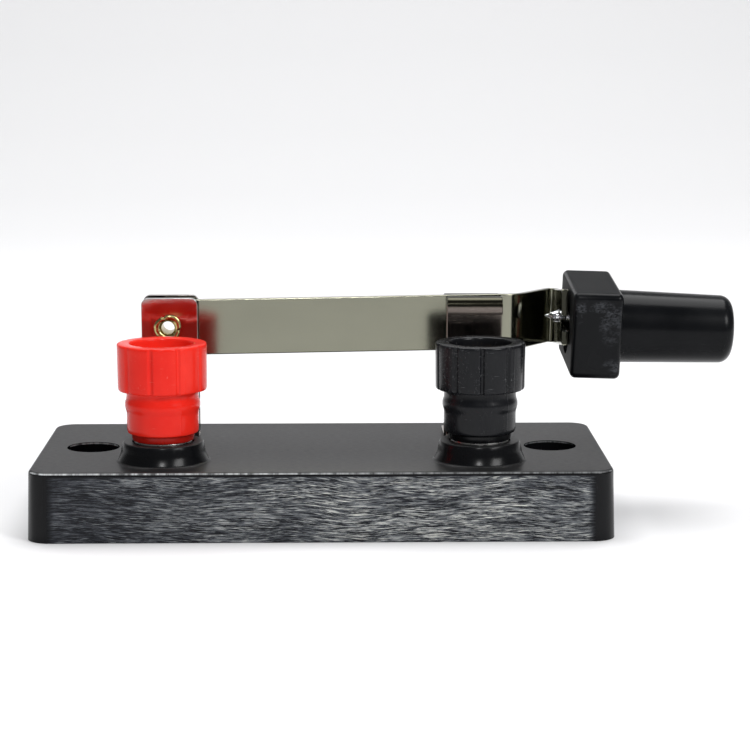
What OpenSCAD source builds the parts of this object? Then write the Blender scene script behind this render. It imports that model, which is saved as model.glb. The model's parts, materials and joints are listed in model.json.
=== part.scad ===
// Single-pole knife blade switch on a moulded base, closed position.
// +X runs from the hinge to the handle, +Y from the binding posts to the blade, +Z up.
// The origin is the middle of the base's underside, halfway between its two screw holes.

/* [Base] */
// Length of the base at its foot
base_l = 101.4; // [96:0.2:110]
// Depth of the base at its foot
base_w = 46.6; // [43:0.2:52]
// Height of the deck above the table
base_h = 12.2; // [12:0.1:14]
// Corner radius of the base, seen from above
base_corner = 4; // [3:0.5:6]
// Draft of the outer walls, per side
base_draft = 0.35; // [0.2:0.05:0.6]
// Rounding where the deck meets the walls
base_edge = 0.6; // [0.4:0.1:1]
// Thickness of the outer walls
wall = 2.5; // [2:0.1:3]
// Thickness of the deck
deck_t = 3; // [2.6:0.1:3.2]
// Distance between the two screw holes
hole_pitch = 82.4; // [80:0.2:84]
// Diameter of the screw holes
hole_d = 4.5; // [3.5:0.1:5]
// Diameter of the counterbores for the screw heads
cbore_d = 9.4; // [8:0.1:9.6]
// Depth of the counterbores
cbore_depth = 6; // [4:0.5:7]

/* [Binding posts] */
// Distance between the two posts
post_pitch = 55.4; // [54:0.2:57]
// Distance of the posts in front of the middle of the base
post_setback = 11.9; // [11.5:0.1:12.4]
// Diameter of a moulded boss at the deck
boss_d1 = 16; // [15:0.1:17]
// Diameter of a moulded boss at its top
boss_d2 = 14.2; // [13:0.1:15]
// Height of a moulded boss
boss_h = 3.5; // [3:0.1:4]
// Diameter of the knob's grooved head
knob_d = 15.7; // [15:0.1:16.5]
// Number of grooves round the head
knob_grooves = 10; // [8:1:16]
// Diameter of the knob's skirt
skirt_d = 12.5; // [12:0.1:13]
// Height of the knob's top above the deck
knob_top = 20.8; // [20.5:0.1:22]
// Diameter of the plug socket in each stud
socket_d = 4; // [3.9:0.05:4.1]
// Depth of the plug socket
socket_depth = 12; // [10:0.5:12]
// Outside diameter of the stud's upper thread
stud_d = 6; // [5.8:0.1:6]

/* [Blade] */
// Width of the blade strip
blade_w = 10.1; // [9.5:0.1:10.5]
// Thickness of the blade strip
blade_t = 1.2; // [1:0.05:1.25]
// Height of the hinge rivet above the deck
pivot_h = 21.2; // [20.8:0.1:22]
// Height of the rivet's hole above the middle of the strip
hinge_up = 0.3; // [0:0.1:0.5]
// Distance of the hinge rivet from the middle of the base
pivot_x = 27.7; // [27:0.1:28]
// Distance of the blade behind the middle of the base
blade_y = 6; // [5.5:0.1:6.5]
// Rise of the closed blade towards the handle, in degrees
blade_rise = 0.9; // [0.7:0.1:1]
// Width of the hinge ears
ear_w = 10.1; // [9.5:0.1:10.5]
// Thickness of the hinge ears
ear_t = 1.2; // [1:0.1:1.4]
// Gap between the hinge ears
ear_gap = 3; // [2.9:0.05:3.2]
// Height of the hinge ears above the deck
ear_h = 26.6; // [26:0.1:27]

/* [Jaw] */
// Width of the jaw leaves
jaw_w = 10; // [9.5:0.1:10.5]
// Distance of the jaw from the middle of the base
jaw_x = 27.4; // [27:0.1:28]
// Thickness of the jaw leaves
leaf_t = 0.9; // [0.8:0.05:1]
// Height of the rolled lips above the deck
jaw_h = 26.7; // [26.5:0.1:27.2]
// Mean radius of the rolled lips
lip_r = 1.25; // [1.1:0.05:1.4]

/* [Handle] */
// Thickness of the finger guard
guard_t = 8.9; // [8.5:0.1:9.5]
// Depth of the finger guard, front to back
guard_w = 21.7; // [20:0.1:23]
// Height of the finger guard
guard_h = 15.6; // [15:0.1:17]
// Diameter of the grip at the guard
grip_d1 = 13.2; // [12.5:0.1:14]
// Diameter of the grip at its end
grip_d2 = 12.3; // [12:0.1:13]
// Length of the grip
grip_l = 21.1; // [20:0.1:24]
// Twist of the handle about its own axis, in degrees
handle_roll = 4.9; // [0:0.1:5]
// Droop of the handle, in degrees
handle_droop = 1.9; // [0:0.1:2]

/* [Hidden] */

px = post_pitch / 2;
py = -post_setback;
deck = base_h;                      // height of the deck
under = base_h - deck_t;            // height of the deck's underside
seat = base_h + boss_h;             // top of a boss
land = seat - 0.9;                  // floor of the recess in a boss, where the stud's collar rests
collar_h = 0.5;                     // stud collar on the boss
washer_t = 0.6;                     // captive clamp washer
run = 0.08;                         // running clearance, radial
stud_top = base_h + 18.7;
strap_t = 0.8;
fs = 48;

function arc(cx, cy, r, a0, a1, n) = [for (i = [0:n]) [cx + r * cos(a0 + (a1 - a0) * i / n), cy + r * sin(a0 + (a1 - a0) * i / n)]];

// ---------- base ----------
// Outward offset of the wall from the core rectangle, from foot to deck
function wall_profile(r, drop) = concat([[0, 0], [r, 0], [r - drop * 0.95, base_h - base_edge]],
    arc(r - drop * 0.95 - base_edge, base_h - base_edge, base_edge, 15, 90, 5), [[0, base_h]]);

module wall_slab(core, len) {
    // a slab whose two ends carry the wall profile
    rotate([90, 0, 90]) translate([0, 0, -len / 2]) linear_extrude(len)
        union() {
            translate([-core / 2, 0]) square([core, base_h]);
            translate([core / 2, 0]) polygon(wall_profile(base_corner, base_draft));
            mirror([1, 0]) translate([core / 2, 0]) polygon(wall_profile(base_corner, base_draft));
        }
}

module base_outer() {
    cx = base_l / 2 - base_corner;
    cy = base_w / 2 - base_corner;
    wall_slab(2 * cy, 2 * cx);
    rotate([0, 0, 90]) wall_slab(2 * cx, 2 * cy);
    for (sx = [-1, 1], sy = [-1, 1]) translate([sx * cx, sy * cy, 0])
        rotate_extrude($fn = 64) polygon(wall_profile(base_corner, base_draft));
}

module base_hollow() {
    r = base_corner - wall + 0.5;
    cx = base_l / 2 - wall - r - 0.3;
    cy = base_w / 2 - wall - r - 0.3;
    translate([-cx - r, -cy, -1]) cube([2 * (cx + r), 2 * cy, under + 1]);
    translate([-cx, -cy - r, -1]) cube([2 * cx, 2 * (cy + r), under + 1]);
    for (sx = [-1, 1], sy = [-1, 1]) translate([sx * cx, sy * cy, -1]) cylinder(r = r, h = under + 1, $fn = fs);
}

module boss() {
    // moulded seat of a binding post, with a small fillet at its foot
    rotate_extrude($fn = 96) polygon([[0, deck - 0.5], [boss_d1 / 2 + 0.35, deck - 0.5], [boss_d1 / 2 + 0.35, deck],
        [boss_d1 / 2 + 0.1, deck + 0.1], [boss_d1 / 2 - 0.1, deck + 0.4], [boss_d1 / 2 - 0.55, deck + boss_h * 0.4],
        [boss_d2 / 2 + 0.12, deck + boss_h * 0.75], [boss_d2 / 2, seat - 0.25], [boss_d2 / 2 - 0.25, seat], [0, seat]]);
}

module base_moulding() color([0.09, 0.09, 0.1]) difference() {
    union() {
        difference() {
            base_outer();
            base_hollow();
        }
        // screw tubes
        for (s = [-1, 1]) translate([s * hole_pitch / 2, 0, 0]) cylinder(d = cbore_d + 3.2, h = base_h - 0.5, $fn = fs);
        // ribs across, and short ribs from the tubes to the end walls
        for (s = [-1, 1]) translate([s * 13 - 0.8, -base_w / 2 + wall - 0.5, 1.2]) cube([1.6, base_w - 2 * wall + 1, under - 1.2 + 0.5]);
        for (s = [-1, 1]) translate([s * (base_l / 2 - wall / 2 - 1.5) - 1.5, -0.8, 1.2]) cube([3, 1.6, under - 1.2 + 0.5]);
        for (s = [-1, 1]) translate([s * px, py, 0]) boss();
    }
    for (s = [-1, 1]) translate([s * hole_pitch / 2, 0, 0]) {
        translate([0, 0, -1]) cylinder(d = hole_d, h = base_h + 2, $fn = fs);
        translate([0, 0, base_h - cbore_depth]) cylinder(d = cbore_d, h = cbore_depth + 1, $fn = 72);
    }
    for (s = [-1, 1]) translate([s * px, py, 0]) {
        cylinder(d = 5.2, h = 30, $fn = fs);
        translate([0, 0, land]) cylinder(d = 10.8, h = 3, $fn = fs);
    }
    translate([-jaw_x, blade_y, 0]) cylinder(d = 3.4, h = 30, $fn = fs);
    for (y = jaw_screw_y) translate([jaw_x, y, 0]) cylinder(d = 3.4, h = 30, $fn = fs);
}

// ---------- binding posts ----------
module stud() color([0.8, 0.66, 0.34]) difference() {
    union() {
        translate([0, 0, 2.6]) cylinder(d = 4.9, h = land - 2.6 + 0.1, $fn = fs);
        translate([0, 0, land]) cylinder(d = 10, h = collar_h, $fn = fs);
        translate([0, 0, land + 0.1]) cylinder(d = stud_d, h = stud_top - land - 0.1, $fn = fs);
    }
    translate([0, 0, stud_top - socket_depth]) cylinder(d = socket_d, h = socket_depth + 1, $fn = fs);
    // wire hole, free when the knob is up
    translate([-5, 0, land + collar_h + 1.2]) rotate([0, 90, 0]) cylinder(d = 2.2, h = 10, $fn = 32);
}

module clamp_washer() color([0.78, 0.78, 0.76]) translate([0, 0, land + collar_h + 0.02]) difference() {
    union() {
        cylinder(d = 10.2, h = washer_t, $fn = fs);
        cylinder(d = 7.4, h = washer_t + 1, $fn = fs);
    }
    translate([0, 0, -1]) cylinder(d = stud_d + 2 * run, h = 5, $fn = fs);
}

knob_foot = land + collar_h + washer_t + 0.05;
insert_top = base_h + 16.9;

module knob_insert() color([0.8, 0.66, 0.34]) translate([0, 0, knob_foot + 1.2]) difference() {
    cylinder(d = 8, h = insert_top - knob_foot - 1.2, $fn = fs);
    translate([0, 0, -1]) cylinder(d = stud_d + 2 * run, h = 20, $fn = fs);
}

module knob() difference() {
    rotate_extrude($fn = 120) polygon(concat(
        [[0, knob_foot], [5.4, knob_foot], [5.5, deck + 4.9], [skirt_d / 2 - 0.55, deck + 5.15], [skirt_d / 2 - 0.12, deck + 5.4], [skirt_d / 2, deck + 5.9],
         [skirt_d / 2, deck + 8.6], [skirt_d / 2 + 0.22, deck + 9.2], [skirt_d / 2 + 0.22, deck + 10.2], [skirt_d / 2, deck + 10.8],
         [skirt_d / 2, deck + 12.5], [knob_d / 2 - 0.7, deck + 12.6], [knob_d / 2 - 0.3, deck + 12.8], [knob_d / 2 - 0.12, deck + 13.2],
         [knob_d / 2, deck + knob_top - 0.6]],
        arc(knob_d / 2 - 0.4, deck + knob_top - 0.4, 0.4, 15, 90, 5),
        [[0, deck + knob_top]]));
    // open top
    translate([0, 0, deck + knob_top - 3]) cylinder(d1 = 10.4, d2 = 10.9, h = 3.01, $fn = 72);
    translate([0, 0, deck + knob_top - 2.0]) cylinder(d = 10.7, h = 3, $fn = 72);
    // seat of the insert and of the washer's collar
    translate([0, 0, knob_foot - 1]) cylinder(d = 8, h = insert_top - knob_foot + 1, $fn = fs);
    translate([0, 0, knob_foot]) cylinder(d = stud_d + 0.6, h = 30, $fn = fs);
    for (i = [0:knob_grooves - 1]) rotate([0, 0, 360 / knob_grooves * (i + 0.5) - 90 - 180 / knob_grooves])
        translate([knob_d / 2 + 0.12, 0, deck + 12]) cylinder(d = 1.3, h = 12, $fn = 24);
}

module red_post_knob() color([0.85, 0.08, 0.05]) translate([-px, py, 0]) rotate([0, 0, 25]) knob();
module black_post_knob() color([0.08, 0.08, 0.08]) translate([px, py, 0]) knob();
module red_post_stud() translate([-px, py, 0]) stud();
module black_post_stud() translate([px, py, 0]) stud();
module red_knob_insert() translate([-px, py, 0]) knob_insert();
module black_knob_insert() translate([px, py, 0]) knob_insert();
module red_clamp_washer() translate([-px, py, 0]) clamp_washer();
module black_clamp_washer() translate([px, py, 0]) clamp_washer();

module lock_washer(d, bore, h) difference() {
    cylinder(d = d, h = h, $fn = fs);
    translate([0, 0, -1]) cylinder(d = bore, h = h + 2, $fn = fs);
    translate([0, -0.3, -1]) cube([d, 0.6, h + 2]);
}

module hex_nut(af, bore, h) difference() {
    cylinder(d = af / cos(30), h = h, $fn = 6);
    translate([0, 0, -1]) cylinder(d = bore, h = h + 2, $fn = fs);
}

module stud_lock_washers() color([0.7, 0.7, 0.7]) for (s = [-1, 1])
    translate([s * px, py, under - strap_t - 1]) rotate([0, 0, 40]) lock_washer(8.6, 5.1, 1);

module stud_nuts() color([0.8, 0.66, 0.34]) for (s = [-1, 1])
    translate([s * px, py, under - strap_t - 5]) rotate([0, 0, 10]) hex_nut(8, 4.95, 4);

// ---------- straps under the deck ----------
jaw_screw_y = [blade_y - 5.1, blade_y + 5.1];

module strap(x1, x2, y2, holes) difference() {
    union() {
        translate([x1, py, under - strap_t]) cylinder(d = 10, h = strap_t, $fn = fs);
        translate([min(x1, x2) - 5 + abs(x1 - x2) / 2, py, under - strap_t]) cube([10, y2 - py, strap_t]);
        translate([x2, y2, under - strap_t]) cylinder(d = 10, h = strap_t, $fn = fs);
    }
    translate([x1, py, 0]) cylinder(d = 5.1, h = 20, $fn = fs);
    for (y = holes) translate([x2, y, 0]) cylinder(d = 3.3, h = 20, $fn = fs);
}

module pivot_strap() color([0.8, 0.66, 0.34]) strap(-px, -jaw_x, blade_y, [blade_y]);
module jaw_strap() color([0.8, 0.66, 0.34]) strap(px, jaw_x, jaw_screw_y[1], jaw_screw_y);

// ---------- hinge ----------
module pivot_bracket() color([0.62, 0.61, 0.57]) {
    half = ear_gap / 2 + ear_t;
    top = deck + ear_h;
    difference() {
        intersection() {
            // U section
            translate([-jaw_x - ear_w / 2, blade_y, 0]) rotate([90, 0, 90]) linear_extrude(ear_w)
                difference() {
                    polygon(concat([[half, top], [-half, top]], arc(-half + 1.7, deck + 1.7, 1.7, 180, 270, 5), arc(half - 1.7, deck + 1.7, 1.7, 270, 360, 5)));
                    polygon(concat([[half - ear_t, top + 1], [-half + ear_t, top + 1]],
                        arc(-half + ear_t + 0.5, deck + ear_t + 0.5, 0.5, 180, 270, 3), arc(half - ear_t - 0.5, deck + ear_t + 0.5, 0.5, 270, 360, 3)));
                }
            // rounded top corners
            translate([-jaw_x, blade_y + 10, 0]) rotate([90, 0, 0]) linear_extrude(20) union() {
                translate([-ear_w / 2, 0]) square([ear_w, top - 1.3]);
                translate([-ear_w / 2 + 1.3, 0]) square([ear_w - 2.6, top]);
                for (s = [-1, 1]) translate([s * (ear_w / 2 - 1.3), top - 1.3]) circle(r = 1.3, $fn = 32);
            }
        }
        translate([-pivot_x, blade_y, deck + pivot_h]) rotate([90, 0, 0]) translate([0, 0, -10]) cylinder(r = 1.87, h = 20, $fn = fs);
        translate([-jaw_x, blade_y, deck - 1]) cylinder(d = 3, h = 5, $fn = fs);
    }
}

module pivot_bracket_screw() color([0.75, 0.75, 0.73]) translate([-jaw_x, blade_y, 0]) {
    difference() {
        union() {
            translate([0, 0, under - strap_t - 0.7 - 2]) cylinder(d1 = 4.6, d2 = 5.6, h = 0.8, $fn = fs);
            translate([0, 0, under - strap_t - 0.7 - 1.2]) cylinder(d = 5.6, h = 1.2, $fn = fs);
            translate([0, 0, under - strap_t - 0.8]) cylinder(d = 2.9, h = deck + ear_t + 1 - under + strap_t + 0.8, $fn = fs);
        }
        for (a = [0, 90]) rotate([0, 0, a]) translate([-1.6, -0.35, under - strap_t - 3]) cube([3.2, 0.7, 1.3]);
    }
    // lock washer under the head
    translate([0, 0, under - strap_t - 0.7]) lock_washer(5.4, 3.1, 0.68);
}

module pivot_rivet() color([0.82, 0.7, 0.42]) {
    half = ear_gap / 2 + ear_t;
    translate([-pivot_x, blade_y, deck + pivot_h]) rotate([90, 0, 0]) difference() {
        union() {
            translate([0, 0, -half - 0.4]) cylinder(r = 1.85, h = 2 * half + 0.8, $fn = fs);
            translate([0, 0, half]) cylinder(r1 = 2.4, r2 = 2.1, h = 0.45, $fn = fs);
            translate([0, 0, -half - 0.45]) cylinder(r1 = 2.2, r2 = 2.5, h = 0.45, $fn = fs);
        }
        translate([0, 0, -10]) cylinder(r = 1.4, h = 20, $fn = fs);
        translate([0, 0, half]) cylinder(r1 = 1.4, r2 = 1.8, h = 0.46, $fn = fs);
    }
}

module pivot_washers() color([0.75, 0.75, 0.72]) for (s = [-1, 1])
    translate([-pivot_x, blade_y + s * (blade_t / 2 + (ear_gap - blade_t) / 4), deck + pivot_h]) rotate([90, 0, 0]) difference() {
        cylinder(r = 3.6, h = (ear_gap - blade_t) / 2 - 0.1, center = true, $fn = fs);
        cylinder(r = 1.9, h = 5, center = true, $fn = fs);
    }

// ---------- jaw ----------
throat = blade_rise_z(jaw_x - jaw_w / 2) - blade_w / 2 + deck - 0.25;   // inner faces are full width from here up
function blade_rise_z(x) = pivot_h - hinge_up + (x + pivot_x) * tan(blade_rise);   // blade centre above the deck

// Mean line of a leaf: foot, bend, stem, throat, straight contact, rolled lip. u is the distance from the blade's middle plane.
function leaf_line() = let (s = leaf_t / 2, c = blade_t / 2 + 0.06 + leaf_t / 2, top = deck + jaw_h - leaf_t / 2 - lip_r)
    concat([[9.2, deck + s]], arc(s + 1, deck + s + 1, 1, 270, 180, 5), [[s, throat - 1.8]],
        [for (i = [1:5]) let (k = i / 6) [s + (c - s) * (3 * k * k - 2 * k * k * k), throat - 1.8 + 1.6 * k]],
        [[c, throat], [c, top]], arc(c + lip_r, top, lip_r, 165, 0, 11), [[c + 2 * lip_r, top - 1.0], [c + 2 * lip_r + 0.1, top - 1.5]]);

function unit(v) = v / norm(v);
function perp(v) = [-v[1], v[0]];
function side(pts, t) = let (n = len(pts)) [for (i = [0:n - 1])
    let (a = unit(pts[min(i + 1, n - 1)] - pts[i] + (i == n - 1 ? pts[n - 1] - pts[n - 2] : [0, 0])),
         b = unit(pts[i] - pts[max(i - 1, 0)] + (i == 0 ? pts[1] - pts[0] : [0, 0])),
         m = unit(perp(a) + perp(b))) pts[i] + m * t / max(0.5, m * perp(a))];
function rev(l) = [for (i = [len(l) - 1:-1:0]) l[i]];

module leaf(shift) difference() {
    translate([jaw_x - jaw_w / 2 + shift, blade_y, 0]) rotate([90, 0, 90]) linear_extrude(jaw_w)
        polygon(concat(side(leaf_line(), leaf_t / 2), rev(side(leaf_line(), -leaf_t / 2))));
    translate([jaw_x, jaw_screw_y[1], deck - 1]) cylinder(d = 3.2, h = 4, $fn = fs);
    translate([jaw_x, blade_y + 5, deck + 8]) rotate([90, 0, 0]) cylinder(d = 2.6, h = 10, $fn = fs);
}

module jaw_leaf_front() color([0.6, 0.58, 0.52]) translate([0, 2 * blade_y, 0]) mirror([0, 1, 0]) leaf(0.25);
module jaw_leaf_back() color([0.6, 0.58, 0.52]) leaf(-0.1);

module jaw_rivet() color([0.75, 0.72, 0.65]) translate([jaw_x, blade_y, deck + 8]) rotate([90, 0, 0]) {
    translate([0, 0, -leaf_t - 0.3]) cylinder(d = 2.6, h = 2 * leaf_t + 0.6, $fn = fs);
    translate([0, 0, leaf_t]) cylinder(d1 = 4.6, d2 = 3, h = 1, $fn = fs);
    translate([0, 0, -leaf_t - 1]) cylinder(d1 = 3, d2 = 4.6, h = 1, $fn = fs);
}

module jaw_screws() color([0.75, 0.75, 0.73]) for (y = jaw_screw_y) translate([jaw_x, y, 0]) difference() {
    union() {
        translate([0, 0, deck + leaf_t]) cylinder(d = 5.6, h = 1.2, $fn = fs);
        translate([0, 0, deck + leaf_t + 1.2]) cylinder(d1 = 5.6, d2 = 4.6, h = 0.7, $fn = fs);
        translate([0, 0, 4.9]) cylinder(d = 2.9, h = deck + leaf_t - 4.8, $fn = fs);
    }
    for (a = [20, 110]) rotate([0, 0, a]) translate([-1.6, -0.35, deck + leaf_t + 0.7]) cube([3.2, 0.7, 2]);
}

module jaw_lock_washers() color([0.7, 0.7, 0.7]) for (y = jaw_screw_y)
    translate([jaw_x, y, under - strap_t - 0.6]) rotate([0, 0, 75]) lock_washer(5.4, 3.1, 0.6);

module jaw_nuts() color([0.75, 0.75, 0.73]) for (y = jaw_screw_y)
    translate([jaw_x, y, under - strap_t - 3]) hex_nut(5.5, 2.95, 2.4);

// ---------- blade ----------
bend1_x = 32.5;        // where the blade starts to bend back
bend1_r = 5;
bend1_a = 57;
tang_l = 9.1;          // straight run between the bends
bend2_r = 1.1;
bend2_a = bend1_a + 90;
flange_l = 15;         // run of the flange across the guard
flange_rise = 7;       // rise of the flange towards the front, in degrees
s1 = bend1_r * bend1_a * PI / 180;
s2 = s1 + tang_l;
s3 = s2 + bend2_r * bend2_a * PI / 180;
s4 = s3 + flange_l;
e1 = [bend1_x + bend1_r * sin(bend1_a), blade_y + bend1_r * (1 - cos(bend1_a))];
e2 = e1 + tang_l * [cos(bend1_a), sin(bend1_a)];
c2 = e2 + bend2_r * [sin(bend1_a), -cos(bend1_a)];

// Mean line of the strip in plan, by distance from the start of the first bend
function plan(s) = s < 0 ? [bend1_x + s, blade_y]
    : s < s1 ? let (a = s / bend1_r * 180 / PI) [bend1_x + bend1_r * sin(a), blade_y + bend1_r * (1 - cos(a))]
    : s < s2 ? e1 + (s - s1) * [cos(bend1_a), sin(bend1_a)]
    : s < s3 ? let (a = bend1_a - (s - s2) / bend2_r * 180 / PI) c2 + bend2_r * [-sin(a), cos(a)]
    : c2 + [bend2_r, -(s - s3)];
function level(s) = let (z0 = deck + blade_rise_z(bend1_x))
    s < 0 ? z0 + s * tan(blade_rise) : s < s3 ? z0 - 0.02 * s : z0 - 0.02 * s3 + (s - s3) * tan(flange_rise);
function strip(s) = let (p = plan(s)) [p[0], p[1], level(s)];

function ring(s) = let (t = unit(strip(s + 0.15) - strip(s - 0.15)), u = unit([0, 0, 1] - t[2] * t), n = cross(u, t), p = strip(s),
    k = s < -0.3 ? 0.9 : 1, h = k * blade_w / 2, w = k * blade_t / 2) [p - h * u - w * n, p - h * u + w * n, p + h * u + w * n, p + h * u - w * n];

stations = concat([-0.6, 0.1], [for (i = [1:8]) s1 * i / 8], [for (i = [1:3]) s1 + tang_l * i / 3],
    [for (i = [1:12]) s2 + (s3 - s2) * i / 12], [s3 + 0.5, s3 + 2, s4]);

module tang() {
    n = len(stations);
    polyhedron(points = [for (s = stations) for (p = ring(s)) p],
        faces = concat([[0, 1, 2, 3]], [[4 * n - 1, 4 * n - 2, 4 * n - 3, 4 * n - 4]],
            [for (i = [0:n - 2], k = [0:3]) let (a = 4 * i + k, b = 4 * i + (k + 1) % 4) [a, a + 4, b + 4, b]]), convexity = 6);
}

module blade() color([0.6, 0.6, 0.56]) difference() {
    union() {
        translate([-pivot_x, blade_y, deck + pivot_h - hinge_up]) rotate([0, -blade_rise, 0]) {
            translate([0.45, -blade_t / 2, -blade_w / 2]) cube([(bend1_x + pivot_x) / cos(blade_rise) - 0.45, blade_t, blade_w]);
            translate([0.45, 0, 0]) rotate([90, 0, 0]) cylinder(d = blade_w, h = blade_t, center = true, $fn = 72);
        }
        tang();
    }
    translate([-pivot_x, blade_y, deck + pivot_h]) rotate([90, 0, 0]) cylinder(r = 1.85 + run, h = 10, center = true, $fn = fs);
    in_handle() screw_axis() translate([0, 0, -6]) cylinder(d = 2.9, h = 12, $fn = 32);
    // slot that lets the flange slide over the screw from its free end
    in_handle() translate([-3, -12, 1.1 - 1.45]) cube([6, 12, 2.9]);
}

// ---------- handle ----------
module in_handle() translate([44.5, blade_y, deck + 21.54]) rotate([handle_roll, 0, 0]) rotate([0, handle_droop, 0]) children();
// +Z along the handle screw, from the flange to the grip's end
module screw_axis() translate([0, 0, 1.1]) rotate([0, 92.4, 0]) children();

module handle() color([0.08, 0.08, 0.08]) in_handle() difference() {
    union() {
        hull() for (x = [1, guard_t - 1], y = [-1, 1], z = [-1, 1])
            translate([x, y * (guard_w / 2 - 1), z * (guard_h / 2 - 1)]) sphere(r = 1, $fn = 24);
        translate([0, 0, -0.3]) rotate([0, 90, 0]) rotate_extrude($fn = 96)
            polygon(concat([[0, guard_t - 2], [grip_d1 / 2, guard_t - 2], [grip_d1 / 2, guard_t]],
                arc(grip_d2 / 2 - 2.2, guard_t + grip_l - 2.2, 2.2, 0, 90, 8), [[0, guard_t + grip_l]]));
    }
    // round recess in the face that the flange covers
    translate([-0.5, 0, -0.3]) rotate([0, 90, 0]) cylinder(d = 10.6, h = 6.5, $fn = 72);
    screw_axis() translate([0, 0, -2]) cylinder(d = 3.3, h = 30, $fn = fs);
    screw_axis() translate([0, 0, 25]) cylinder(d = 6.4, h = 10, $fn = fs);
}

module handle_screw() color([0.85, 0.85, 0.86]) in_handle() screw_axis() difference() {
    union() {
        translate([0, 0, -4.0]) cylinder(r1 = 0.1, r2 = 1.4, h = 2.4, $fn = 32);
        translate([0, 0, -1.6]) cylinder(r = 1.4, h = 26.7, $fn = 32);
        translate([0, 0, 25]) cylinder(d = 5.6, h = 1.3, $fn = fs);
        translate([0, 0, 26.3]) cylinder(d1 = 5.6, d2 = 4.4, h = 0.8, $fn = fs);
    }
    for (a = [0, 90]) rotate([0, 0, a]) translate([-1.7, -0.4, 25.9]) cube([3.4, 0.8, 2]);
}

base_moulding();
red_post_stud();
black_post_stud();
red_post_knob();
black_post_knob();
red_knob_insert();
black_knob_insert();
red_clamp_washer();
black_clamp_washer();
stud_lock_washers();
stud_nuts();
pivot_strap();
jaw_strap();
pivot_bracket();
pivot_bracket_screw();
pivot_rivet();
pivot_washers();
jaw_leaf_front();
jaw_leaf_back();
jaw_rivet();
jaw_screws();
jaw_lock_washers();
jaw_nuts();
blade();
handle();
handle_screw();
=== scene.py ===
import json
import math
import bpy, bmesh
from mathutils import Vector, Matrix, Euler


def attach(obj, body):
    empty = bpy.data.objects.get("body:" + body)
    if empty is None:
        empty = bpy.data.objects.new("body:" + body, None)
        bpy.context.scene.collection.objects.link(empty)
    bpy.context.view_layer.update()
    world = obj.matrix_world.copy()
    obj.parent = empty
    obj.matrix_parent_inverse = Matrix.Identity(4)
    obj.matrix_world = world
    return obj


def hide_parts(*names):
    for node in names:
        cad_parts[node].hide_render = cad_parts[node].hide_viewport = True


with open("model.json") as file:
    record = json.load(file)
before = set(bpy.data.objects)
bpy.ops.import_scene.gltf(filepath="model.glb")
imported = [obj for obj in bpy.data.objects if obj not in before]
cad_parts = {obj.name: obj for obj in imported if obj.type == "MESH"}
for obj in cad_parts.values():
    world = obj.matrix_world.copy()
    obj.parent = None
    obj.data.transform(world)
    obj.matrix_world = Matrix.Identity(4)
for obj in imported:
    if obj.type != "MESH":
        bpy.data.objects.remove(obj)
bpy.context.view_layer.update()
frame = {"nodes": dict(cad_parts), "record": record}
NODES = frame["nodes"]
MM = 0.001
DECK = 12.2
rad = math.radians
PX, PY = 27.7, -11.9
SEAT = DECK + 3.5
LAND = SEAT - 0.9
FOOT = LAND + 0.5 + 0.6 + 0.05
INSERT_TOP = DECK + 16.9
STUD_TOP = DECK + 18.7
BLADE_Y, PIVOT_X, PIVOT_Z = 6.0, -27.7, DECK + 21.2
JAW_X = 27.4


# ------------------------------------------------------------------ materials
SPEC = 0.28


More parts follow.
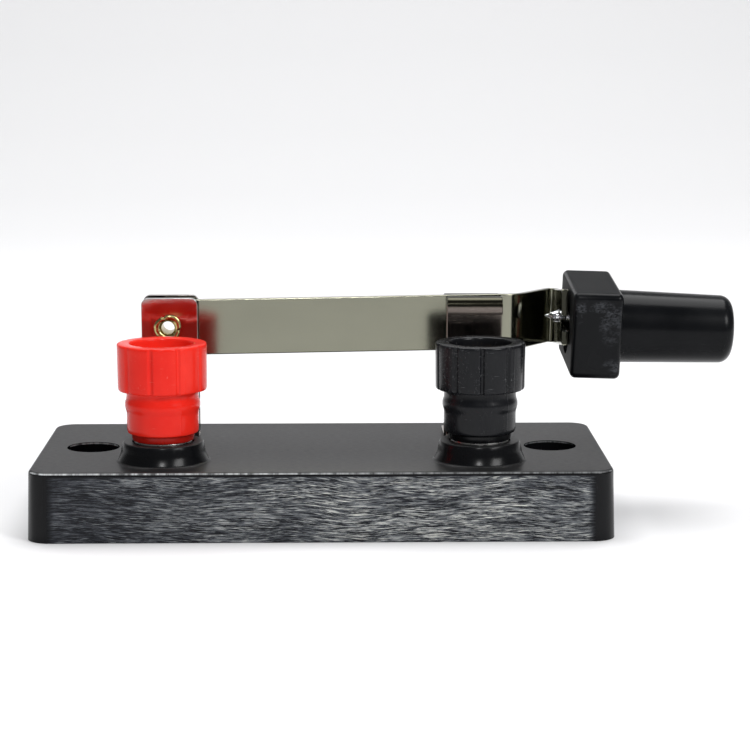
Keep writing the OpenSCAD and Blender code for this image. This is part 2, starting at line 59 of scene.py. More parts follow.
class Mat:
    """A small node-tree writer."""

    def __init__(self, name):
        self.mat = bpy.data.materials.new(name)
        self.mat.use_nodes = True
        self.t = self.mat.node_tree
        self.t.nodes.clear()
        self.out = self.t.nodes.new("ShaderNodeOutputMaterial")
        self.b = self.t.nodes.new("ShaderNodeBsdfPrincipled")
        self.t.links.new(self.b.outputs[0], self.out.inputs[0])
        self.tc = None

    def n(self, kind, **props):
        node = self.t.nodes.new(kind)
        for k, v in props.items():
            setattr(node, k, v)
        return node

    def link(self, a, b):
        self.t.links.new(a, b)

    def set(self, **kw):
        for k, v in kw.items():
            self.b.inputs[k.replace("_", " ")].default_value = v

    def coords(self):
        if self.tc is None:
            self.tc = self.n("ShaderNodeTexCoord").outputs["Object"]
        return self.tc

    def mapping(self, scale=(1, 1, 1), rot=(0, 0, 0), loc=(0, 0, 0), src=None):
        m = self.n("ShaderNodeMapping")
        m.inputs["Scale"].default_value = scale
        m.inputs["Rotation"].default_value = rot
        m.inputs["Location"].default_value = loc
        self.link(src if src is not None else self.coords(), m.inputs["Vector"])
        return m.outputs[0]

    def noise(self, vec, scale=1.0, detail=4.0, rough=0.55, dist=0.0, col=False):
        n = self.n("ShaderNodeTexNoise")
        n.inputs["Scale"].default_value = scale
        n.inputs["Detail"].default_value = detail
        n.inputs["Roughness"].default_value = rough
        n.inputs["Distortion"].default_value = dist
        self.link(vec, n.inputs["Vector"])
        return n.outputs["Color" if col else "Fac"]

    def voronoi(self, vec, scale=1.0, feature="F1"):
        n = self.n("ShaderNodeTexVoronoi")
        n.feature = feature
        n.inputs["Scale"].default_value = scale
        self.link(vec, n.inputs["Vector"])
        return n.outputs["Distance"]

    def ramp(self, fac, stops, interp="LINEAR"):
        r = self.n("ShaderNodeValToRGB")
        r.color_ramp.interpolation = interp
        e = r.color_ramp.elements
        while len(e) > 1:
            e.remove(e[-1])
        e[0].position, e[0].color = stops[0][0], self.c4(stops[0][1])
        for p, c in stops[1:]:
            x = e.new(p)
            x.color = self.c4(c)
        self.link(fac, r.inputs[0])
        return r.outputs[0]

    @staticmethod
    def c4(c):
        return (c, c, c, 1) if not hasattr(c, "__len__") else (*c[:3], 1)

    def maprange(self, v, a, b, c, d, smooth=False):
        m = self.n("ShaderNodeMapRange")
        if smooth:
            m.interpolation_type = "SMOOTHSTEP"
        for i, x in enumerate((a, b, c, d)):
            m.inputs[i + 1].default_value = x
        self.link(v, m.inputs[0])
        return m.outputs[0]

    def math(self, op, a, b=None, clamp=False):
        m = self.n("ShaderNodeMath", operation=op, use_clamp=clamp)
        for i, x in enumerate((a, b)):
            if x is None:
                continue
            if isinstance(x, (int, float)):
                m.inputs[i].default_value = x
            else:
                self.link(x, m.inputs[i])
        return m.outputs[0]

    def mix(self, fac, a, b):
        m = self.n("ShaderNodeMix", data_type="RGBA")
        for i, x in ((0, fac), (6, a), (7, b)):
            if isinstance(x, (int, float)):
                m.inputs[i].default_value = x if i == 0 else (x, x, x, 1)
            elif isinstance(x, tuple):
                m.inputs[i].default_value = (*x[:3], 1)
            else:
                self.link(x, m.inputs[i])
        return m.outputs[2]

    def bump(self, height, strength=0.3, dist=0.0001, normal=None):
        b = self.n("ShaderNodeBump")
        b.inputs["Strength"].default_value = strength
        b.inputs["Distance"].default_value = dist
        self.link(height, b.inputs["Height"])
        if normal is not None:
            self.link(normal, b.inputs["Normal"])
        return b.outputs[0]

    def color(self, v):
        self.link(v, self.b.inputs["Base Color"])

    def rough(self, v):
        self.link(v, self.b.inputs["Roughness"])

    def normal(self, v):
        self.link(v, self.b.inputs["Normal"])

    def xyz(self, src=None):
        s = self.n("ShaderNodeSeparateXYZ")
        self.link(src if src is not None else self.coords(), s.inputs[0])
        return s.outputs

    def true_normal(self):
        g = self.n("ShaderNodeNewGeometry")
        s = self.n("ShaderNodeSeparateXYZ")
        self.link(g.outputs["Normal"], s.inputs[0])
        return s.outputs


def base_material():
    """Black moulding: satin deck, walls rubbed with a coarse abrasive, glossy rounded corners; painted light
    brightens the rubbing towards the right, and painted shade darkens the faces that do not face up.
    """
    m = Mat("black_moulding_worn")
    x, y, z = m.xyz()
    # rubbed streaks, bent by slow swirls, running along the walls
    swirl = m.noise(m.mapping((30, 30, 45)), 1.0, 2.0, 0.5, col=True)
    sw = m.n("ShaderNodeSeparateXYZ"); m.link(swirl, sw.inputs[0])
    bend = m.math("MULTIPLY", m.math("SUBTRACT", sw.outputs[0], 0.5), 0.0065)
    along = m.math("ADD", x, y)
    zz = m.math("ADD", z, bend)
    lift = m.math("MULTIPLY", m.math("SUBTRACT", sw.outputs[1], 0.5), 0.06)
    zz = m.math("ADD", zz, m.math("MULTIPLY", lift, m.math("MULTIPLY", along, 0.5)))
    v = m.n("ShaderNodeCombineXYZ")
    m.link(along, v.inputs[0]); m.link(zz, v.inputs[2]); m.link(m.math("MULTIPLY", m.math("SUBTRACT", x, y), 0.2), v.inputs[1])
    sa = m.noise(m.mapping((210, 200, 3600), src=v.outputs[0]), 1.0, 7.0, 0.68, 0.2)
    sb = m.noise(m.mapping((360, 300, 8600), rot=(0, rad(5), 0), src=v.outputs[0]), 1.0, 4.0, 0.62, 0.12)
    sc = m.noise(m.mapping((330, 300, 7600), rot=(0, rad(-9), 0), src=v.outputs[0]), 1.0, 4.0, 0.62, 0.12)
    slow = m.noise(m.mapping((60, 60, 240)), 1.0, 3.0, 0.55)
    thick = m.maprange(sa, 0.47, 0.70, 0.0, 0.75)
    fib = m.math("MAXIMUM", m.maprange(sb, 0.53, 0.66, 0.0, 1.0), m.maprange(sc, 0.54, 0.67, 0.0, 0.9))
    s = m.math("MAXIMUM", thick, fib)
    worn = m.math("MULTIPLY", s, m.maprange(slow, 0.30, 0.62, 0.50, 1.25), True)
    # where the walls are flat: not the rounded corners, not the deck
    nx, ny, nz = m.true_normal()
    flat = m.math("GREATER_THAN", m.math("MAXIMUM", m.math("ABSOLUTE", nx), m.math("ABSOLUTE", ny)), 0.97)
    low = m.math("MULTIPLY", m.maprange(z, 0.0113, 0.0116, 1.0, 0.0), m.maprange(z, -0.0001, 0.0001, 0.0, 1.0))
    outside = m.math("MAXIMUM", m.maprange(m.math("ABSOLUTE", y), 0.0219, 0.0220, 0.0, 1.0), m.maprange(m.math("ABSOLUTE", x), 0.0494, 0.0495, 0.0, 1.0))
    cx = m.maprange(m.math("ABSOLUTE", x), 0.0455, 0.0475, 1.0, 0.0, True)
    cy = m.maprange(m.math("ABSOLUTE", y), 0.0180, 0.0195, 1.0, 0.0, True)
    away = m.math("MAXIMUM", m.math("MULTIPLY", cx, m.math("GREATER_THAN", m.math("ABSOLUTE", ny), 0.7)), m.math("MULTIPLY", cy, m.math("GREATER_THAN", m.math("ABSOLUTE", nx), 0.7)))
    mask = m.math("MULTIPLY", m.math("MULTIPLY", flat, low), m.math("MULTIPLY", outside, away))
    # painted light: the rubbed streaks are brightest right of the middle and dimmest at the left end, standing in for
    # how the light falls along the front
    painted_light_across = m.ramp(m.maprange(x, -0.050, 0.050, 0.0, 1.0), [(0.0, 0.42), (0.15, 0.50), (0.29, 0.64), (0.46, 0.86), (0.63, 1.0), (0.81, 0.97), (0.95, 0.80)])
    # rub is the real rubbed streaks multiplied by the painted light across the walls
    rub = m.math("MULTIPLY", m.math("MULTIPLY", worn, painted_light_across), mask)
    tone = m.ramp(rub, [(0.0, (0.006, 0.0068, 0.0085)), (0.08, (0.020, 0.022, 0.028)), (0.28, (0.10, 0.108, 0.12)), (0.6, (0.36, 0.375, 0.37)), (1.0, (0.78, 0.78, 0.72))])
    # painted highlight: a bright line along the upper front edge, broken by noise, strongest at the left end and
    # fading to the right
    painted_edge_highlight = m.math("MULTIPLY", m.maprange(z, 0.01180, 0.01190, 0.0, 1.0), m.maprange(z, 0.01204, 0.01212, 1.0, 0.0))
    painted_edge_highlight = m.math("MULTIPLY", painted_edge_highlight, m.math("MULTIPLY", m.math("LESS_THAN", ny, -0.35), m.maprange(m.noise(m.mapping((900, 60, 60)), 1.0, 4.0, 0.7), 0.40, 0.62, 0.15, 1.0)))
    painted_edge_highlight = m.math("MULTIPLY", painted_edge_highlight, m.maprange(x, -0.040, 0.030, 1.0, 0.35, True))
    # deck: faint clouding and fine scratches
    cloud = m.noise(m.mapping((60, 90, 60)), 1.0, 3.0, 0.5)
    deck_tone = m.ramp(cloud, [(0.3, (0.014, 0.014, 0.0145)), (0.75, (0.020, 0.020, 0.0205))])
    up = m.math("GREATER_THAN", nz, 0.6)
    # painted shade: faces that do not face up (boss sides, corners, hole walls, underside) are coloured a darker
    # black than the deck
    base = m.mix(up, (0.004, 0.0042, 0.005), deck_tone)
    # the pale colour mixed in along the upper front edge is the painted highlight
    m.color(m.mix(painted_edge_highlight, m.mix(mask, base, tone), (0.55, 0.57, 0.58)))
    fine = m.noise(m.mapping((900, 2600, 900)), 1.0, 3.0, 0.6)
    r_deck = m.maprange(fine, 0.2, 0.8, 0.34, 0.44)
    r = m.mix(up, 0.22, r_deck)
    r = m.mix(mask, r, m.maprange(worn, 0, 1, 0.35, 0.65))
    m.rough(r)
    grain = m.noise(m.mapping((3500, 3500, 3500)), 1.0, 2.0, 0.6)
    b1 = m.bump(grain, 0.05, 0.00003)
    b2 = m.bump(m.math("MULTIPLY", s, mask), 0.5, 0.00006, b1)
    m.normal(b2)
    m.set(Specular_IOR_Level=0.16, IOR=1.5)
    return m.mat


def knob_material(name, dark, light, scuff, rough_lo, rough_hi, sub=0.0, scuff_at=0.62, spec=0.2):
    """Moulded knob plastic: slow tone changes, scuffed high spots, fine nicks, and painted shade darkening the foot
    under the skirt.
    """
    m = Mat(name)
    slow = m.noise(m.mapping((180, 180, 120)), 1.0, 3.0, 0.5)
    tone = m.ramp(slow, [(0.3, dark), (0.72, light)])
    speck = m.noise(m.mapping((2300, 2300, 1700)), 1.0, 5.0, 0.72, 0.4)
    patch = m.noise(m.mapping((330, 330, 170)), 1.0, 2.0, 0.5)
    sc = m.math("MULTIPLY", m.maprange(speck, scuff_at, scuff_at + 0.12, 0, 1), m.maprange(patch, 0.46, 0.62, 0, 1))
    sc = m.math("MULTIPLY", sc, m.maprange(m.xyz()[2], 0.0242, 0.0247, 0.2, 1.0))
    nick = m.maprange(m.noise(m.mapping((260, 260, 3800), rot=(0.2, 0.5, 0)), 1.0, 3.0, 0.6), 0.70, 0.74, 0, 1)
    sc = m.math("MAXIMUM", sc, m.math("MULTIPLY", nick, 0.5))
    # painted shade: the foot under the skirt is darkened, standing in for the skirt's shadow
    foot_painted_shade = m.maprange(m.xyz()[2], 0.0171, 0.0175, 0.28, 1.0)
    tone = m.mix(foot_painted_shade, (dark[0] * 0.2, dark[1] * 0.2, dark[2] * 0.2), tone)
    m.color(m.mix(m.math("MULTIPLY", sc, 0.8), tone, scuff))
    m.rough(m.mix(sc, m.maprange(patch, 0.3, 0.7, rough_lo, rough_hi), 0.62))
    draw = m.noise(m.mapping((1500, 1500, 60)), 1.0, 2.0, 0.5)
    m.normal(m.bump(sc, 0.3, 0.00006, m.bump(draw, 0.12, 0.00004)))
    m.set(Specular_IOR_Level=spec, IOR=1.5)
    if sub:
        m.set(Subsurface_Weight=sub, Subsurface_Scale=0.0015)
        m.b.inputs["Subsurface Radius"].default_value = (1.0, 0.25, 0.15)
    return m.mat


def nickel_material(name, light, dark, rough_lo, rough_hi, grain_dir=(90, 3000, 3000), aniso=0.0, smudge=0.25, brush=0.00001, lip_painted_reflection=False):
    """Nickel-plated strip: rolling grain along the strip, smudges, slightly warm."""
    m = Mat(name)
    cloud = m.noise(m.mapping((75, 75, 110)), 1.0, 4.0, 0.6)
    stain = m.noise(m.mapping((420, 420, 420)), 1.0, 5.0, 0.65, 0.5)
    tone = m.ramp(cloud, [(0.30, dark), (0.70, light)])
    spot = m.maprange(stain, 0.64, 0.72, 0, 0.5)
    m.color(m.mix(m.math("MULTIPLY", spot, smudge), tone, (0.20, 0.19, 0.15)))
    grain = m.noise(m.mapping(grain_dir), 1.0, 4.0, 0.6)
    m.rough(m.math("ADD", m.maprange(cloud, 0.3, 0.7, rough_lo, rough_hi), m.math("MULTIPLY", m.math("SUBTRACT", grain, 0.5), 0.06)))
    hair = m.noise(m.mapping((500, 500, 12000)), 1.0, 1.0, 0.5)
    m.normal(m.bump(hair, 1.0, brush, m.bump(m.noise(m.mapping((170, 170, 170)), 1.0, 1.0, 0.5), 0.10, 0.00010)))
    m.set(Metallic=1.0)
    if lip_painted_reflection:
        # painted reflection: the rolled lip is coloured a dark olive that stands in for the dark surroundings it
        # reflects
        z = m.xyz()[2]
        now = m.b.inputs["Base Color"].links[0].from_socket
        m.color(m.mix(m.maprange(m.math("ADD", z, m.math("MULTIPLY", m.math("SUBTRACT", cloud, 0.5), 0.0006)), 0.0369, 0.0374, 0.0, 1.0), now, (0.050, 0.048, 0.034)))
    if aniso:
        m.set(Anisotropic=aniso)
        t = m.n("ShaderNodeTangent", direction_type="RADIAL", axis="Y")
        m.link(t.outputs[0], m.b.inputs["Tangent"])
    return m.mat


def metal_material(name, light, dark, lo, hi, scale=700.0, bump=0.06):
    m = Mat(name)
    cloud = m.noise(m.mapping((scale, scale, scale)), 1.0, 4.0, 0.6)
    m.color(m.ramp(cloud, [(0.3, dark), (0.7, light)]))
    m.rough(m.maprange(cloud, 0.3, 0.75, lo, hi))
    m.normal(m.bump(m.noise(m.mapping((2600, 2600, 2600)), 1.0, 3.0, 0.6), bump, 0.00003))
    m.set(Metallic=1.0)
    return m.mat


def handle_material():
    m = Mat("black_handle_plastic")
    slow = m.noise(m.mapping((120, 120, 120)), 1.0, 3.0, 0.5)
    tone = m.ramp(slow, [(0.3, (0.003, 0.0034, 0.0042)), (0.75, (0.006, 0.0065, 0.0075))])
    x, y, z = m.xyz()
    # rubbed patches on the guard's front face
    nx, ny, nz = m.true_normal()
    front = m.math("LESS_THAN", ny, -0.75)
    pat = m.noise(m.mapping((230, 230, 420), loc=(3.1, 0, 1.7)), 1.0, 3.0, 0.6)
    sp = m.noise(m.mapping((1900, 1900, 3200)), 1.0, 4.0, 0.7)

    def blot(xc, zc, rx, rz, k):
        dx = m.math("MULTIPLY", m.math("SUBTRACT", x, xc), 1 / rx)
        dz = m.math("MULTIPLY", m.math("SUBTRACT", z, zc), 1 / rz)
        return m.maprange(m.math("ADD", m.math("MULTIPLY", dx, dx), m.math("MULTIPLY", dz, dz)), 0.3, 1.3, k, 0.0)

    right = m.math("MAXIMUM", blot(0.0508, 0.0375, 0.0032, 0.0018, 1.0), m.math("MAXIMUM", blot(0.0455, 0.0374, 0.0014, 0.0022, 0.9), blot(0.0518, 0.0272, 0.0018, 0.0014, 1.0)))
    right = m.math("MAXIMUM", right, blot(0.0513, 0.0345, 0.0020, 0.0034, 0.6))
    rub = m.math("MULTIPLY", m.math("MULTIPLY", m.maprange(pat, 0.44, 0.56, 0, 1), m.maprange(sp, 0.40, 0.62, 0, 1)), m.math("MULTIPLY", front, right))
    rub = m.math("MULTIPLY", rub, m.maprange(x, 0.0530, 0.0536, 0.75, 0.0))
    m.color(m.mix(rub, tone, (0.085, 0.09, 0.10)))
    side = m.math("MAXIMUM", m.maprange(m.math("ABSOLUTE", nz), 0.80, 0.97, 0.0, 1.0), m.maprange(nx, -0.80, -0.95, 0.0, 1.0))
    side = m.math("MULTIPLY", side, m.maprange(x, 0.0530, 0.0545, 1.0, 0.0))
    m.rough(m.mix(rub, m.mix(side, m.maprange(slow, 0.3, 0.7, 0.20, 0.28), 0.60), 0.6))
    m.normal(m.bump(rub, 0.3, 0.00005, m.bump(m.noise(m.mapping((2200, 2200, 2200)), 1.0, 2.0, 0.5), 0.06, 0.00004)))
    m.set(Specular_IOR_Level=0.12, IOR=1.5)
    return m.mat


M_BASE = base_material()
M_RED = knob_material("red_knob_plastic", (0.78, 0.018, 0.010), (0.88, 0.034, 0.020), (0.86, 0.24, 0.18), 0.15, 0.24, sub=0.05, scuff_at=0.62, spec=0.16)
M_BLACK = knob_material("black_knob_plastic", (0.005, 0.0055, 0.007), (0.009, 0.0095, 0.011), (0.14, 0.145, 0.15), 0.18, 0.30, scuff_at=0.56)
M_NICKEL = nickel_material("nickel_strip", (0.25, 0.25, 0.195), (0.22, 0.22, 0.172), 0.12, 0.16, brush=0.0000022)
M_EAR = nickel_material("nickel_bracket", (0.42, 0.39, 0.38), (0.36, 0.34, 0.33), 0.07, 0.11, (90, 3000, 3000), brush=0.000002)
M_LEAF = nickel_material("nickel_jaw", (0.31, 0.27, 0.24), (0.25, 0.21, 0.185), 0.10, 0.17, (90, 3000, 3000), smudge=0.5, brush=0.000003, lip_painted_reflection=True)
M_ZINC = metal_material("zinc_plate", (0.62, 0.62, 0.60), (0.48, 0.48, 0.47), 0.22, 0.38)
M_BRASS = metal_material("turned_brass", (0.72, 0.53, 0.24), (0.58, 0.41, 0.17), 0.20, 0.36)
M_EYELET = metal_material("eyelet_brass", (0.62, 0.50, 0.22), (0.36, 0.29, 0.12), 0.18, 0.34, 1500.0, 0.15)
M_CHROME = metal_material("bright_screw_steel", (0.86, 0.87, 0.90), (0.72, 0.74, 0.78), 0.08, 0.16)
M_HANDLE = handle_material()


# ------------------------------------------------------------------ mesh tools
def finish_mesh(me, angle=35):
    me.shade_smooth()
    me.set_sharp_from_angle(angle=rad(angle))
    me.update()


def add(name, verts, faces, mat, body, replaces=(), angle=35, mm=True):
    me = bpy.data.meshes.new(name)
    k = MM if mm else 1.0
    me.from_pydata([(v[0] * k, v[1] * k, v[2] * k) for v in verts], [], faces)
    me.validate()
    bm = bmesh.new(); bm.from_mesh(me)
    bmesh.ops.recalc_face_normals(bm, faces=bm.faces)
    bm.to_mesh(me); bm.free()
    finish_mesh(me, angle)
    o = bpy.data.objects.new(name, me)
    bpy.context.scene.collection.objects.link(o)
    me.materials.append(mat)
    if body:
        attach(o, body)
        if replaces:
            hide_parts(*replaces)
    return o


def bake(o):
    """Applies the modifiers, so the mesh is final."""
    dg = bpy.context.evaluated_depsgraph_get()
    ev = o.evaluated_get(dg)
    me = bpy.data.meshes.new_from_object(ev)
    old = o.data
    o.modifiers.clear()
    o.data = me
    me.name = old.name + "_final"
    return me


def cut(o, cutters, op="DIFFERENCE"):
    for c in cutters:
        mod = o.modifiers.new("cut", "BOOLEAN")
        mod.operation = op
        mod.solver = "EXACT"
        mod.object = c
        bpy.context.view_layer.update()
        bake(o)
        bpy.data.objects.remove(c, do_unlink=True)


def rods(name, centre, axis, r, length, n=48):
    """A plain cylinder used as a cutter, centred on a point along an axis."""
    a = Vector(axis).normalized()
    q = a.to_track_quat("Z", "Y").to_matrix()
    v, f = [], []
    for k in (-0.5, 0.5):
        for i in range(n):
            t = 2 * math.pi * i / n
            p = q @ Vector((r * math.cos(t), r * math.sin(t), k * length))
            v.append((centre[0] + p.x, centre[1] + p.y, centre[2] + p.z))
    f.append(list(range(n))[::-1]); f.append(list(range(n, 2 * n)))
    for i in range(n):
        f.append([i, (i + 1) % n, n + (i + 1) % n, n + i])
    return add(name, v, f, M_BASE, None)


def lathe(profile, n, at=(0, 0), shape=None, closed=True):
    """Revolves (r, z) points; shape(r, z, a, i) may change the radius."""
    v, f = [], []
    for i, (r, z) in enumerate(profile):
        for k in range(n):
            a = 2 * math.pi * k / n
            rr = shape(r, z, a, i) if shape else r
            v.append((at[0] + rr * math.cos(a), at[1] + rr * math.sin(a), z))
    m = len(profile)
    for i in range(m if closed else m - 1):
        j = (i + 1) % m
        for k in range(n):
            l = (k + 1) % n
            f.append([i * n + k, i * n + l, j * n + l, j * n + k])
    if not closed:
        f.append([k for k in range(n)][::-1]); f.append([(m - 1) * n + k for k in range(n)])
    return v, f


def arc(cx, cy, r, a0, a1, n):
    return [(cx + r * math.cos(rad(a0 + (a1 - a0) * i / n)), cy + r * math.sin(rad(a0 + (a1 - a0) * i / n))) for i in range(n + 1)]


def thin_out(pts, step):
    """Adds points along long straight runs so that shading and bevels stay even."""
    out = [pts[0]]
    for a, b in zip(pts, pts[1:]):
        d = math.dist(a, b)
        m = max(1, int(d / step))
        for i in range(1, m + 1):
            out.append(tuple(a[j] + (b[j] - a[j]) * i / m for j in range(len(a))))
    return out


def weigh(o):
    """Flat faces keep their own normal, and the small rounds blend between them."""
    w = o.modifiers.new("normals", "WEIGHTED_NORMAL")
    w.keep_sharp = True
    w.weight = 50
    bpy.context.view_layer.update()
    bake(o)


def refine(name, nodes, mat, body, bevel=0.15, segments=3, angle=32, weld=1e-6, shade=35):
    """A finished copy of CAD nodes: welded, flats merged, every sharp edge broken with a small round."""
    bm = bmesh.new()
    for nd in nodes:
        bm.from_mesh(NODES[nd].data)
    bmesh.ops.remove_doubles(bm, verts=bm.verts, dist=weld)
    bmesh.ops.dissolve_limit(bm, angle_limit=rad(1.0), verts=bm.verts, edges=bm.edges, delimit=set())
    bmesh.ops.recalc_face_normals(bm, faces=bm.faces)
    me = bpy.data.meshes.new(name)
    bm.to_mesh(me); bm.free()
    o = bpy.data.objects.new(name, me)
    bpy.context.scene.collection.objects.link(o)
    if bevel:
        b = o.modifiers.new("round", "BEVEL")
        b.width = bevel * MM
        b.segments = segments
        b.limit_method = "ANGLE"
        b.angle_limit = rad(angle)
        b.use_clamp_overlap = True
        b.harden_normals = False
        b.miter_outer = "MITER_ARC"
        bpy.context.view_layer.update()
        bake(o)
    o.data.materials.clear()
    o.data.materials.append(mat)
    finish_mesh(o.data, shade)
    weigh(o)
    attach(o, body)
    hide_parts(*nodes)
    return o


# ------------------------------------------------------------------ binding posts
GROOVES = 10


def knob(name, node, x, mat, body, phase, flash, deep):
    D = DECK
    prof = [(4.0, FOOT), (5.2, FOOT), (5.34, FOOT + 0.06), (5.4, FOOT + 0.22), (5.5, D + 4.75), (5.52, D + 4.95)]
    prof += [(5.62, D + 5.06), (5.95, D + 5.12), (6.12, D + 5.2), (6.21, D + 5.4), (6.25, D + 5.8), (6.27, D + 6.4)]
    prof += [(6.27, D + 7.2), (6.27, D + 8.2), (6.29, D + 8.7), (6.36, D + 9.05), (6.48, D + 9.4),
             (6.56, D + 9.8), (6.56, D + 10.3), (6.48, D + 10.7), (6.35, D + 11.05), (6.28, D + 11.5), (6.26, D + 12.0), (6.26, D + 12.42), (6.34, D + 12.52)]
    base = len(prof)
    prof += [(6.9, D + 12.55), (7.3, D + 12.58), (7.6, D + 12.66), (7.72, D + 12.8), (7.78, D + 13.1)]
    prof += thin_out([(7.78, D + 13.1), (7.85, D + 20.3)], 0.9)[1:]
    prof += [(7.83, D + 20.5), (7.76, D + 20.66), (7.62, D + 20.76), (7.4, D + 20.8), (6.9, D + 20.82), (6.3, D + 20.82), (5.85, D + 20.8)]
    top = len(prof)
    prof += [(5.66, D + 20.74), (5.52, D + 20.6), (5.46, D + 20.35), (5.42, D + 19.8), (5.32, D + 18.6), (5.28, D + 18.0), (5.15, D + 17.82), (4.9, D + 17.8)]
    prof += [(3.45, D + 17.8), (3.3, D + 17.7), (3.3, D + 17.3), (3.3, INSERT_TOP + 0.05), (4.0, INSERT_TOP + 0.05)]

    def shape(r, z, a, i):
        if i < base - 1 or i >= top:
            if D + 5.3 < z < D + 12.4 and r > 6:      # mould parting line down the skirt
                for s in (flash, flash + math.pi):
                    d = (a - s + math.pi) % (2 * math.pi) - math.pi
                    r += 0.05 * math.exp(-(d * r / 0.09) ** 2)
            return r
        w = min(1.0, max(0.0, (r - 6.4) / 1.1))
        if z > D + 20.3:
            w *= max(0.5, 1 - (z - D - 20.3) * 0.8)
        p = (a - phase) / (2 * math.pi) * GROOVES
        d = abs(p - round(p)) * (2 * math.pi / GROOVES) * r    # distance from the nearest groove
        g = math.exp(-(d / 0.36) ** 4)
        crown = 0.08 * (1 - min(1.0, d / 2.2)) ** 2
        out = r - w * (deep * g + crown)
        for s in (flash, flash + math.pi):
            e = (a - s + math.pi) % (2 * math.pi) - math.pi
            out += 0.07 * math.exp(-(e * r / 0.1) ** 2)
        return out

    v, f = lathe(prof, 384, (x, PY), shape)
    return add(name, v, f, mat, body, [node], angle=40)


knob("red_knob_moulding", "red_post_knob", -PX, M_RED, "red_knob", rad(-90 + 25), rad(-56), 0.26)
knob("black_knob_moulding", "black_post_knob", PX, M_BLACK, "black_knob", rad(-91), rad(-46), 0.40)


def stud(name, node, x):
    """Threaded brass stud: collar, wire hole, 4 mm socket with a chamfered mouth."""
    pitch = 1.0
    prof = [(1.9, 2.6), (2.4, 3.0)]
    z = 3.0
    while z < DECK - 3.2:
        z += 0.1
        prof.append((2.45, z))
    prof += [(2.45, LAND - 0.2), (2.45, LAND), (4.85, LAND), (5.0, LAND + 0.12), (5.0, LAND + 0.38), (4.88, LAND + 0.5), (3.0, LAND + 0.5), (2.7, LAND + 0.52)]
    low = len(prof)
    z = LAND + 0.6
    while z < STUD_TOP - 0.45:
        prof.append((3.0, z)); z += 0.125
    high = len(prof)
    prof += [(2.85, STUD_TOP - 0.35), (2.62, STUD_TOP - 0.05), (2.5, STUD_TOP), (2.35, STUD_TOP), (2.2, STUD_TOP - 0.1), (2.0, STUD_TOP - 0.4)]
    prof += [(2.0, STUD_TOP - 3), (2.0, STUD_TOP - 8), (2.0, STUD_TOP - 11.6), (1.8, STUD_TOP - 12.0)]

    def shape(r, z, a, i):
        if low <= i < high:
            p = ((z / pitch) - a / (2 * math.pi)) % 1.0
            fade = min(1.0, (z - LAND - 0.55) / 0.6, (STUD_TOP - 0.4 - z) / 0.4)
            return r - 0.5 * max(0.0, fade) * (1 - abs(2 * p - 1)) * 0.9
        if 1 < i < low and r == 2.45 and z < DECK - 3.2:
            p = ((z / 0.8) - a / (2 * math.pi)) % 1.0
            return r - 0.38 * (1 - abs(2 * p - 1))
        return r

    v, f = lathe(prof, 56, (x, PY), shape, closed=False)
    o = add(name, v, f, M_BRASS, "base", [node], angle=40)
    cut(o, [rods("c", (x, PY, LAND + 1.7), (1, 0, 0), 1.1, 10, 32)])
    finish_mesh(o.data, 40)
    return o


stud("red_stud_threaded", "red_post_stud", -PX)
stud("black_stud_threaded", "black_post_stud", PX)
for side in ("red", "black"):
    refine(f"{side}_insert_turned", [f"{side}_knob_insert"], M_BRASS, f"{side}_knob", 0.2)
    refine(f"{side}_washer_pressed", [f"{side}_clamp_washer"], M_ZINC, f"{side}_clamp", 0.12)


# ------------------------------------------------------------------ base
refine("base_shell", ["base_moulding"], M_BASE, "base", 0.22, 3, 40)

# ------------------------------------------------------------------ under the deck
refine("stud_spring_washers", ["stud_lock_washers"], M_ZINC, "base", 0.1, 2)
refine("stud_hex_nuts", ["stud_nuts"], M_BRASS, "base", 0.25, 3)
refine("hinge_strap", ["pivot_strap"], M_BRASS, "base", 0.12, 2)
refine("jaw_link_strap", ["jaw_strap"], M_BRASS, "base", 0.12, 2)
refine("hinge_screw", ["pivot_bracket_screw"], M_ZINC, "base", 0.12, 2)
refine("jaw_fixing_screws", ["jaw_screws"], M_ZINC, "base", 0.15, 2)
refine("jaw_spring_washers", ["jaw_lock_washers"], M_ZINC, "base", 0.08, 2)
refine("jaw_hex_nuts", ["jaw_nuts"], M_ZINC, "base", 0.2, 3)
refine("jaw_setting_rivet", ["jaw_rivet"], M_ZINC, "base", 0.2, 3)
refine("hinge_spacers", ["pivot_washers"], M_ZINC, "base", 0.1, 2)

# ------------------------------------------------------------------ hinge
ears = refine("hinge_bracket", ["pivot_bracket"], M_EAR, "base", 0.42, 5, 40)
LEAN = 4.0
LEAN_Z = 28.0
for vert in ears.data.vertices:                       # the front ear has sprung forward a little
    if vert.co.y < (BLADE_Y - 1.0) * MM and vert.co.z > LEAN_Z * MM:
        vert.co.y -= (vert.co.z - LEAN_Z * MM) * math.tan(rad(LEAN))
ears.data.update()
EAR_OUT = (PIVOT_Z - LEAN_Z) * math.tan(rad(LEAN))


